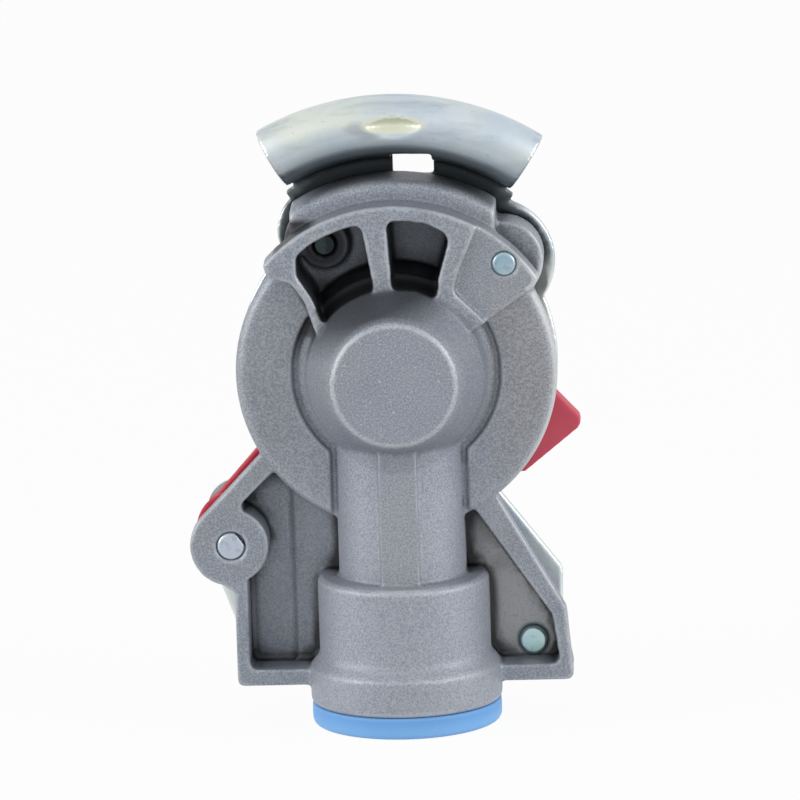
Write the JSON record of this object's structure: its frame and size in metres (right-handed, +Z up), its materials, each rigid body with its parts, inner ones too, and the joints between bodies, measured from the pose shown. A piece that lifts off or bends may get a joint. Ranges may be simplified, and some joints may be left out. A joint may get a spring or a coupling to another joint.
{
  "type": "gladhand air brake coupling",
  "caption": "Trailer air brake coupling head: cast body with a round valve housing and port, pressed claw and lip plate, sprung swinging dust lid, rubber face seal and a plug in the port.",
  "frame": {"origin": "middle of the underside of the shipping plug, on the port's axis", "axes": "+Z up along the port's axis, +Y out of the mating face, -Y towards the viewer of the picture, +X to the right as seen from the back"},
  "size_m": [0.0785, 0.054, 0.1274],
  "materials": {
    "casting": "rough cast, matte",
    "plated_sheet": "zinc plated",
    "zinc_pin": "zinc plated, pale green",
    "lid_red": "moulded, matte",
    "spring_steel": "drawn wire",
    "rubber": "matte",
    "brass": "turned",
    "plug_blue": "moulded, matte"
  },
  "bodies": {
    "head": {"body_casting": "casting", "guide_plate": "plated_sheet", "rivet_upper_left": "zinc_pin", "rivet_upper_right": "zinc_pin", "rivet_lower_right": "zinc_pin", "lid_pin": "zinc_pin", "lid_spring": "spring_steel", "pin_washer": "plated_sheet", "face_seal": "rubber", "valve_spring": "spring_steel", "valve_cage": "brass", "cage_ring": "spring_steel", "port_plug": "plug_blue"},
    "dust_lid": {"lid": "lid_red"},
    "valve": {"valve_poppet": "brass", "valve_seal": "rubber"}
  },
  "joints": [
    {"name": "lid_swing", "type": "hinge", "parent": "head", "child": "dust_lid", "pos_m": [-0.0343, 0.0174, 0.037], "axis": [0, -1, 0], "range_deg": [0, 95], "stiffness_Nm_per_rad": 0.06, "springref_deg": -45.84, "deforming": ["lid_spring"]},
    {"name": "valve_slide", "type": "slide", "parent": "head", "child": "valve", "axis": [0, -1, 0], "range_m": [0, 0.0035], "stiffness_N_per_m": 900, "springref_m": -0.006, "deforming": ["valve_spring"]}
  ]
}
